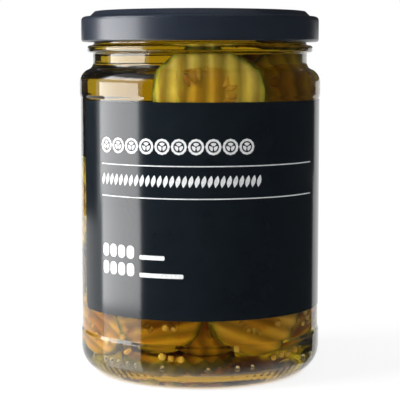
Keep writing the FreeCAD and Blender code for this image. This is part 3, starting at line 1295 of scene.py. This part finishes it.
@dataclass
class GherkinPack:
    """All the slices: a few that lie against the windows, and a loose heap behind them."""

    shape: JarShape
    tries: int = 4500
    voxel: float = 1.6
    seed: int = 11
    kinds: int = 4
    shared: int = 1
    shoulder_low: float = 89.0
    shoulder_high: float = 95.0
    half_depth: float = 0.17
    rings: tuple[tuple[float, int], ...] = ((0.0, 1), (0.2, 8), (0.4, 14), (0.6, 20), (0.8, 26), (0.98, 32))

    def chosen(self) -> list[SlicePlan]:
        """Lists the slices against the glass, above and below the label and at the gap in it.

        Returns:
            Their plans.
        """
        return [
            SlicePlan((2.2, -26.6, 86.0), (0.04, -1.0, 0.12), 0.0, 15.8, 0),
            SlicePlan((15.2, -23.0, 22.8), (0.42, -0.9, 0.06), 66.0, 14.8, 1),
            SlicePlan((-6.0, -12.5, 5.9), (0.0, -0.04, 1.0), 35.0, 15.4, 3),
            SlicePlan((-11.0, -21.5, 21.0), (-0.1, -1.0, 0.2), 100.0, 12.6, 2),
            SlicePlan((-25.6, -9.5, 17.8), (-0.92, -0.55, 0.12), 70.0, 12.4, 0),
            SlicePlan((1.5, -17.0, 20.0), (0.1, -1.0, 0.15), 15.0, 13.0, 3),
            SlicePlan((22.0, -3.0, 86.5), (0.5, -0.75, 0.15), 15.0, 14.0, 2),
            SlicePlan((-28.0, 4.0, 52.0), (-1.0, 0.1, 0.1), 75.0, 15.0, 3),
            SlicePlan((-25.0, 12.0, 26.0), (-1.0, 0.45, -0.25), 30.0, 15.0, 0),
        ]

    def clear_of_view(self, plan: SlicePlan) -> bool:
        """Tells whether a loose slice leaves the open liquid at the top left of the front free."""
        x, y, z = plan.middle
        return not (x < -4.0 and y < 16.0 and z > 74.0)

    def cells(self, plan: SlicePlan) -> set[tuple[int, int, int]]:
        """Finds the room that a slice takes.

        Args:
            plan: the slice.

        Returns:
            The small cubes of space that it fills.
        """
        taken = set()
        place = plan.matrix()
        for ring, count in self.rings:
            for step in range(count):
                turn = 2.0 * math.pi * step / count
                for depth in (-self.half_depth, 0.0, self.half_depth):
                    spot = place @ Vector((ring * math.cos(turn), ring * math.sin(turn), depth))
                    taken.add(tuple(int(c // (self.voxel * MM)) for c in spot))
        return taken

    def inside(self, plan: SlicePlan) -> bool:
        """Tells whether a slice keeps clear of the glass and the surface.

        Args:
            plan: the slice.

        Returns:
            Whether the whole of it is within the liquid.
        """
        place = plan.matrix()
        wall, bend = self.shape.inner_radius - 0.6, self.shape.floor_round
        top, low = self.shape.level - 2.0, self.shape.floor + 0.7
        for step in range(20):
            turn = 2.0 * math.pi * step / 20
            for depth in (-0.16, 0.16):
                spot = place @ Vector((0.99 * math.cos(turn), 0.99 * math.sin(turn), depth)) / MM
                out = math.hypot(spot.x, spot.y)
                reach = wall
                if spot.z > self.shoulder_low:
                    reach = min(wall, self.shape.bore - 0.5 + max(0.0, self.shoulder_high - spot.z) * 0.7)
                if spot.z < low + 5.0:
                    drop = low + bend - max(spot.z, low)
                    reach = min(wall, wall - bend + math.sqrt(max(0.0, bend * bend - drop ** 2)))
                if out > reach or not low < spot.z < top:
                    return False
        return True

    def heap(self) -> list[SlicePlan]:
        """Adds slices at random wherever one still fits, lowest first.

        Returns:
            The chosen slices and the added ones.
        """
        rng = random.Random(self.seed)
        plans = self.chosen()
        taken = set().union(*(self.cells(plan) for plan in plans))
        offers = []
        for _ in range(self.tries):
            turn, out = rng.uniform(0.0, 2.0 * math.pi), 30.0 * math.sqrt(rng.random())
            middle = (out * math.cos(turn), out * math.sin(turn), rng.uniform(8.0, 99.0))
            tilt = (rng.gauss(0.0, 1.0), rng.gauss(0.0, 1.0), rng.gauss(0.0, 0.7))
            offers.append(SlicePlan(middle, tilt, rng.uniform(0.0, 180.0), rng.uniform(13.0, 17.5),
                                    rng.randrange(self.kinds)))
        for plan in sorted(offers, key=lambda offer: offer.middle[2]):
            if not self.clear_of_view(plan) or not self.inside(plan):
                continue
            cells = self.cells(plan)
            if len(cells & taken) > self.shared:
                continue
            taken |= cells
            plans.append(plan)
        return plans

    def build(self, copies: PointCopies, flesh: bpy.types.Material,
              seed_coat: bpy.types.Material) -> None:
        """Builds the slices and the seeds that show on their faces.

        Args:
            copies: the tree that sets the copies.
            flesh: the slices' finish.
            seed_coat: the seeds' finish.
        """
        plans = self.heap()
        groups = []
        for kind in range(self.kinds):
            places = [plan.matrix() for plan in plans if plan.kind == kind]
            pattern = GherkinSlice(kind=kind).build()
            groups.append(copies.spread(f"slices_{kind}", pattern, places, flesh))
            bpy.data.objects.remove(pattern)
        dress(join_pieces("gherkin_slices", groups), flesh, Slot.BRINE)
        pip = self.pip()
        places = [spot for plan in plans for spot in self.pip_places(plan)]
        dress(copies.spread("gherkin_pips", pip, places, seed_coat), seed_coat, Slot.BRINE)
        bpy.data.objects.remove(pip)
        LOG.info("%d slices, %d pips", len(plans), len(places))

    def pip(self) -> bpy.types.Object:
        """Builds one flat pointed seed of unit length along X.

        Returns:
            The seed.
        """
        mesh_data = bmesh.new()
        bmesh.ops.create_uvsphere(mesh_data, u_segments=8, v_segments=6, radius=1.0)
        for point in mesh_data.verts:
            taper = 1.0 - 0.45 * max(0.0, point.co.x)
            point.co = Vector((point.co.x * 0.5, point.co.y * 0.22 * taper, point.co.z * 0.09))
        return mesh_object("pip_shape", mesh_data)

    def pip_places(self, plan: SlicePlan) -> list[Matrix]:
        """Places the seeds of one slice: three fans round the middle, on both faces.

        Args:
            plan: the slice.

        Returns:
            One matrix for each seed, in metres.
        """
        rng = random.Random(int(plan.middle[0] * 100) + int(plan.middle[2] * 10))
        pattern = GherkinSlice(kind=plan.kind)
        places = []
        for side in (-1.0, 1.0):
            for fan in range(3):
                for step in range(5):
                    turn = 2.0 * math.pi * fan / 3 + (step - 2) * 0.26 + plan.kind + rng.uniform(-0.06, 0.06)
                    out = 0.38 + 0.05 * rng.random()
                    x, y = out * math.cos(turn), out * math.sin(turn)
                    z = side * 0.5 * pattern.thickness * 0.97 + pattern.wave(x)
                    spot = Matrix.Translation((x, y, z)) @ Matrix.Rotation(turn, 4, "Z")
                    places.append(plan.matrix() @ spot @ Matrix.Scale(rng.uniform(0.2, 0.27), 4))
        return places


@dataclass
class LooseSpice:
    """Mustard seeds that float in the brine or lie on the floor, and air bubbles on the glass."""

    shape: JarShape
    seed: int = 5
    seed_radius: float = 1.05
    loose_seeds: int = 70
    bubble_radius: float = 0.72
    bubble_depth: float = 0.7
    bubble_turns: tuple[float, ...] = (-55.0, -50.0, -45.0, -39.0, -34.0, -19.0, 4.0, 19.0, 27.0)
    loose_bubbles: int = 34

    def seed_spots(self) -> list[tuple[float, float, float, float]]:
        """Places the mustard seeds.

        Returns:
            Degrees from the front, height, depth in from the wall and size of each.
        """
        near = [
            (-17.0, 18.6, 1.2, 1.05), (-12.8, 18.3, 1.4, 0.8), (-19.0, 9.8, 1.8, 1.1),
            (-14.6, 9.3, 2.2, 0.95), (-9.6, 9.2, 2.4, 1.0), (-52.0, 12.0, 1.2, 0.95),
            (42.0, 18.7, 1.5, 1.0), (64.0, 20.4, 1.3, 1.0), (67.0, 18.2, 1.2, 0.9),
            (70.0, 17.0, 1.2, 0.85), (62.0, 16.8, 1.4, 0.8), (18.5, 12.0, 2.0, 0.85),
            (40.0, 8.2, 2.0, 0.8), (45.0, 8.8, 2.0, 0.9), (50.0, 8.5, 2.0, 0.85), (55.0, 9.4, 1.8, 0.9),
        ]
        rng = random.Random(self.seed)
        for _ in range(self.loose_seeds):
            height = rng.choice((rng.uniform(7.5, 13.0), rng.uniform(7.5, 22.0), rng.uniform(22.0, 96.0)))
            near.append((rng.uniform(75.0, 325.0), height, rng.uniform(1.2, 9.0), rng.uniform(0.8, 1.1)))
        return near

    def wall(self, height: float) -> float:
        """Works out the wall, which is round at the floor and narrow at the neck.

        Args:
            height: the height in millimetres.

        Returns:
            The inside radius of the glass there.
        """
        low = self.shape.floor + self.shape.floor_round
        if height < low:
            drop = min(low - height, self.shape.floor_round)
            bend = self.shape.floor_round
            return self.shape.inner_radius - bend + math.sqrt(max(0.0, bend * bend - drop * drop))
        if height > self.shape.side_height - 2.0:
            return self.shape.bore
        return self.shape.inner_radius

    def place(self, degrees: float, height: float, depth: float, size: float) -> Matrix:
        """Works out where a bead lies.

        Args:
            degrees: its turn round the jar from the front.
            height: its height in millimetres.
            depth: how far it is in from the wall.
            size: its radius.

        Returns:
            The place in metres of a bead of unit radius.
        """
        turn = math.radians(degrees)
        out = self.wall(height) - depth
        spot = Vector((out * math.sin(turn), -out * math.cos(turn), height)) * MM
        tumbled = Euler((degrees, height, 0.0)).to_matrix().to_4x4()
        return Matrix.Translation(spot) @ tumbled @ Matrix.Scale(size * MM, 4)

    def bead(self, name: str, dent: float) -> bpy.types.Object:
        """Builds a unit ball, drawn in a little at one end.

        Args:
            name: the ball's name.
            dent: how far the end is drawn in.

        Returns:
            The ball.
        """
        mesh_data = bmesh.new()
        bmesh.ops.create_icosphere(mesh_data, subdivisions=3, radius=1.0)
        for point in mesh_data.verts:
            point.co *= 1.0 - dent * max(0.0, point.co.z) ** 3
        return mesh_object(name, mesh_data)

    def build(self, copies: PointCopies, coat: bpy.types.Material, air: bpy.types.Material) -> None:
        """Builds the mustard seeds and the bubbles.

        Args:
            copies: the tree that sets the copies.
            coat: the seeds' finish.
            air: the bubbles' finish.
        """
        ball = self.bead("mustard_shape", 0.12)
        places = [self.place(*spot[:3], spot[3] * self.seed_radius) for spot in self.seed_spots()]
        dress(copies.spread("mustard_seeds", ball, places, coat), coat, Slot.BRINE)
        bpy.data.objects.remove(ball)
        ball = self.bead("bubble_shape", 0.0)
        rng = random.Random(self.seed + 1)
        spots = [(degrees, 6.1 + abs(degrees) * 0.012, self.bubble_depth, rng.uniform(0.7, 1.15))
                 for degrees in self.bubble_turns]
        for _ in range(self.loose_bubbles):
            spots.append((rng.uniform(60.0, 300.0), rng.uniform(5.9, 7.0), self.bubble_depth,
                          rng.uniform(0.5, 1.1)))
        places = [self.place(*spot[:3], spot[3] * self.bubble_radius) for spot in spots]
        dress(copies.spread("air_bubbles", ball, places, air), air, Slot.BRINE)
        bpy.data.objects.remove(ball)


# ---------------------------------------------------------------- studio


@dataclass(frozen=True)
class Card:
    """A flat sheet beside the jar that shines, or is dark, and where it shows."""

    name: str
    corners: list[Corner]
    strength: float
    gloss: bool = True
    through: bool = False
    matte: bool = False

    def build(self) -> bpy.types.Object:
        """Builds the sheet and sets it in the studio, where the camera never sees it.

        Returns:
            The sheet.
        """
        count = len(self.corners) // 2 - 1
        mesh = bpy.data.meshes.new(self.name)
        mesh.from_pydata(self.corners, [], [(2 * i, 2 * i + 2, 2 * i + 3, 2 * i + 1) for i in range(count)])
        material, tree = new_material(f"{self.name}_light")
        strength = self.strength
        if self.matte:
            # It reaches only what has left a matte surface, so it isn't seen through the glass itself.
            path = add_node(tree, "ShaderNodeLightPath")
            off_matte = maths(tree, "MINIMUM", path.outputs["Diffuse Depth"], 1.0)
            strength = maths(tree, "MULTIPLY", off_matte, strength)
        finish_material(tree, add_node(tree, "ShaderNodeEmission", inputs={"Strength": strength}))
        mesh.materials.append(material)
        card = bpy.data.objects.new(self.name, mesh)
        bpy.context.scene.collection.objects.link(card)
        card.visible_camera = False
        card.visible_diffuse = False
        card.visible_shadow = False
        card.visible_glossy = self.gloss
        card.visible_transmission = self.through
        return card


@dataclass(frozen=True)
class Studio:
    """Floor, backdrop, lamps and camera: camera sizes in millimetres, the rest in metres."""

    distance: float = 440.0
    eye: float = 97.0
    aim: float = 52.8
    lens: float = 127.0
    softbox: float = 8.5
    softbox_turns: tuple[float, float] = (-107.0, -58.0)
    mirror_turns: tuple[float, float] = (-53.6, -29.0)
    cloth: float = 0.04
    # Amber of the glow painted on the floor under the jar: a painted pool of the light that the brine would
    # let through.
    spill: str = "b98a14"
    half_floor: float = 1.5
    lamp_height: float = 0.6
    steps: int = 20

    def camera(self) -> None:
        """Places the camera in front of the printed face."""
        data = bpy.data.cameras.new("camera")
        data.lens = self.lens
        data.sensor_width = 36.0
        data.clip_start = 0.01
        view = bpy.data.objects.new("camera", data)
        place = Vector((0.0, -self.distance * MM, self.eye * MM))
        view.location = place
        target = Vector((0.0, 0.0, self.aim * MM))
        view.rotation_euler = (target - place).to_track_quat("-Z", "Y").to_euler()
        bpy.context.scene.collection.objects.link(view)
        bpy.context.scene.camera = view

    def lamp(self, name: str, azimuth: float, height: float, away: float, width: float,
             power: float) -> None:
        """Adds a lamp that faces the jar and doesn't show in its gloss.

        Args:
            name: the lamp's name.
            azimuth: degrees round from the camera, positive to its right.
            height: height of the lamp's middle.
            away: distance from the jar.
            width: width of the panel.
            power: watts.
        """
        data = bpy.data.lights.new(name, "AREA")
        data.shape = "RECTANGLE"
        data.size = width
        data.size_y = self.lamp_height
        data.energy = power
        lamp = bpy.data.objects.new(name, data)
        turn = math.radians(azimuth)
        lamp.location = (away * math.sin(turn), -away * math.cos(turn), height)
        target = Vector((0.0, 0.0, 0.05))
        lamp.rotation_euler = (target - lamp.location).to_track_quat("-Z", "Y").to_euler()
        lamp.visible_glossy = False
        bpy.context.scene.collection.objects.link(lamp)

    def turns(self, first: float, last: float) -> list[float]:
        """Even turns in radians between two in degrees."""
        return [math.radians(first + (last - first) * i / self.steps) for i in range(self.steps + 1)]

    def upright(self, first: float, last: float, away: float, low: float, high: float) -> list[Corner]:
        """Sets out an upright screen bent round the jar.

        Args:
            first: degrees round from the camera at which it starts.
            last: degrees at which it ends.
            away: distance from the axis.
            low: height of its foot.
            high: height of its top.

        Returns:
            Pairs of a low and a high corner.
        """
        turns = self.turns(first, last)
        return [(away * math.sin(turn), -away * math.cos(turn), z) for turn in turns for z in (low, high)]

    def lying(self, first: float, last: float, start: float, far: float) -> list[Corner]:
        """Sets out the floor that the jar's wall mirrors between two of its own turns.

        Args:
            first: degrees round the wall at which the sheet starts.
            last: degrees at which it ends.
            start: how far from the wall the sheet starts.
            far: how far from the wall it ends.

        Returns:
            Pairs of a near and a far corner.
        """
        corners = []
        for turn in self.turns(first, last):
            wall = Vector((math.sin(turn), -math.cos(turn))) * 0.038
            mirrored = Vector((math.sin(2.0 * turn), -math.cos(2.0 * turn)))
            corners += [(*(wall + mirrored * out), 0.5 * MM) for out in (start, far)]
        return corners

    def roof(self, height: float, reach: float) -> list[Corner]:
        """Corners of a level sheet over the jar, at a height and with half a side."""
        return [(x, y, height) for y in (-reach, reach) for x in (-reach, reach)]

    def cards(self) -> list[Card]:
        """Lists the softbox that the jar mirrors, what lights the brine, and the dark cloths.

        Returns:
            The sheets.
        """
        box, mirror = self.softbox_turns, self.mirror_turns
        return [
            Card("left_softbox", self.upright(*box, 0.6, 0.001, 0.16), self.softbox),
            Card("left_softbox_waist", self.upright(*box, 0.6, 0.16, 0.3), 2.0),
            Card("left_softbox_head", self.upright(*box, 0.6, 0.3, 0.5), self.softbox),
            Card("left_softbox_foot", self.lying(*mirror, 0.13, 0.56), self.softbox),
            Card("left_softbox_toe", self.lying(*mirror, 0.004, 0.13), 0.3 * self.softbox),
            Card("top_softbox", self.upright(-115.0, 30.0, 0.9, 0.36, 1.1), 4.2,
                 gloss=False, through=True, matte=True),
            Card("front_bounce", self.lying(-29.0, 40.0, 0.012, 0.3), 1.6,
                 gloss=False, through=True, matte=True),
            Card("front_flag", self.upright(-54.0, 24.0, 0.75, -0.05, 2.5), self.cloth),
            Card("right_flag", self.upright(24.0, 140.0, 0.75, -0.05, 2.5), self.cloth, through=True),
            Card("left_back_flag", self.upright(-150.0, -112.0, 0.45, 0.0, 1.2), self.cloth, through=True),
            Card("lid_flag", self.upright(130.0, 230.0, 0.5, 0.112, 1.3), self.cloth),
            Card("roof_cloth", self.roof(1.3, 0.9), 0.25),
            Card("ground_cloth", self.lying(-29.0, 70.0, 0.004, 0.72), self.cloth),
        ]

    def looked_at(self, tree: bpy.types.NodeTree) -> bpy.types.NodeSocket:
        """Tells rays that look at the surroundings from those that bring light to the jar.

        Args:
            tree: the tree of the surroundings.

        Returns:
            A factor of 1 for rays from the camera, off gloss and through glass.
        """
        path = add_node(tree, "ShaderNodeLightPath").outputs
        looks = maths(tree, "MAXIMUM", path["Is Camera Ray"], path["Is Transmission Ray"])
        return maths(tree, "MAXIMUM", looks, path["Is Glossy Ray"])

    def world(self) -> None:
        """Lights the surroundings plainly, white where they are looked at."""
        world = bpy.data.worlds.new("studio")
        world.use_nodes = True
        tree = world.node_tree
        tree.nodes.clear()
        room, white = (add_node(tree, "ShaderNodeBackground", inputs={"Color": WHITE, "Strength": strength})
                       for strength in (0.24, 1.0))
        mix = add_node(tree, "ShaderNodeMixShader",
                       inputs={0: self.looked_at(tree), 1: room.outputs[0], 2: white.outputs[0]})
        add_node(tree, "ShaderNodeOutputWorld", inputs={"Surface": mix.outputs[0]})
        bpy.context.scene.world = world

    def floor(self) -> None:
        """Lays a pale floor that keeps the jar's shadow, with an amber glow painted under the jar for the
        light that the brine would let through.
        """
        mesh = bpy.data.meshes.new("floor")
        half = self.half_floor
        mesh.from_pydata([(-half, -half, 0.0), (half, -half, 0.0), (half, half, 0.0), (-half, half, 0.0)],
                         [], [(0, 1, 2, 3)])
        floor = bpy.data.objects.new("floor", mesh)
        material, tree = new_material("floor_paint")
        paint = add_node(tree, "ShaderNodeBsdfDiffuse", inputs={"Color": linear("f4f4f4")})
        length = add_node(tree, "ShaderNodeVectorMath", {"operation": "LENGTH"}, {0: object_place(tree)})
        out = length.outputs["Value"]
        # Under the jar the glow turns to the painted brine amber: a painted pool of amber light, dimmer than
        # the white floor around it.
        near = map_range(tree, out, (28.0 * MM, 34.0 * MM), (0.0, 1.0), smooth=True)
        far = map_range(tree, out, (40.0 * MM, 160.0 * MM), (0.0, 1.0), smooth=True)
        # A share of plain white stays in the shadow, and a grey share takes the shadow.
        glow = add_node(tree, "ShaderNodeEmission",
                        inputs={"Color": colour_ramp(tree, near, [(0.0, self.spill), (1.0, "f1f1f1")])})
        shade = add_node(tree, "ShaderNodeBsdfDiffuse", inputs={"Color": linear("808080")})
        close = add_node(tree, "ShaderNodeAddShader", inputs={0: shade.outputs[0], 1: glow.outputs[0]})
        white = add_node(tree, "ShaderNodeEmission", inputs={"Strength": 1.0})
        pale = add_node(tree, "ShaderNodeMixShader",
                        inputs={0: far, 1: close.outputs[0], 2: white.outputs[0]})
        finish_material(tree, add_node(tree, "ShaderNodeMixShader", inputs={
            0: self.looked_at(tree), 1: paint.outputs[0], 2: pale.outputs[0]}))
        mesh.materials.append(material)
        bpy.context.scene.collection.objects.link(floor)

    def build(self) -> None:
        """Builds the whole studio."""
        self.world()
        self.floor()
        for card in self.cards():
            card.build()
        self.lamp("key", -70.0, 0.45, 0.8, 0.5, 11.0)
        self.lamp("fill", 55.0, 0.5, 1.0, 0.6, 1.2)
        self.camera()


def main() -> None:
    """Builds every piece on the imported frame."""
    logging.basicConfig(level=logging.INFO, format="%(name)s: %(message)s")
    bpy.context.scene.view_settings.view_transform = "Standard"
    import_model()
    shape = JarShape()
    copies = PointCopies("copies_on_points")
    pip_coat = SeedCoat("gherkin_pip_coat", "e0b44a", "b57f24").build()
    mustard_hull = SeedCoat("mustard_hull", "f6cc56", "dca232").build()
    GlassJar(shape).build(ClearContainerGlass().build(shape))
    BrineFill(shape).build(GherkinBrine().build())
    GherkinPack(shape).build(copies, PickledGherkin().build(), pip_coat)
    LooseSpice(shape).build(copies, mustard_hull, AirBubble().build())
    repaint(Node.LID, LidLacquer().build())
    repaint(Node.LABEL, LabelFilm().build())
    LabelPrint().build(copies, PrintInk().build())
    Studio().build()


if __name__ == "__main__":
    main()
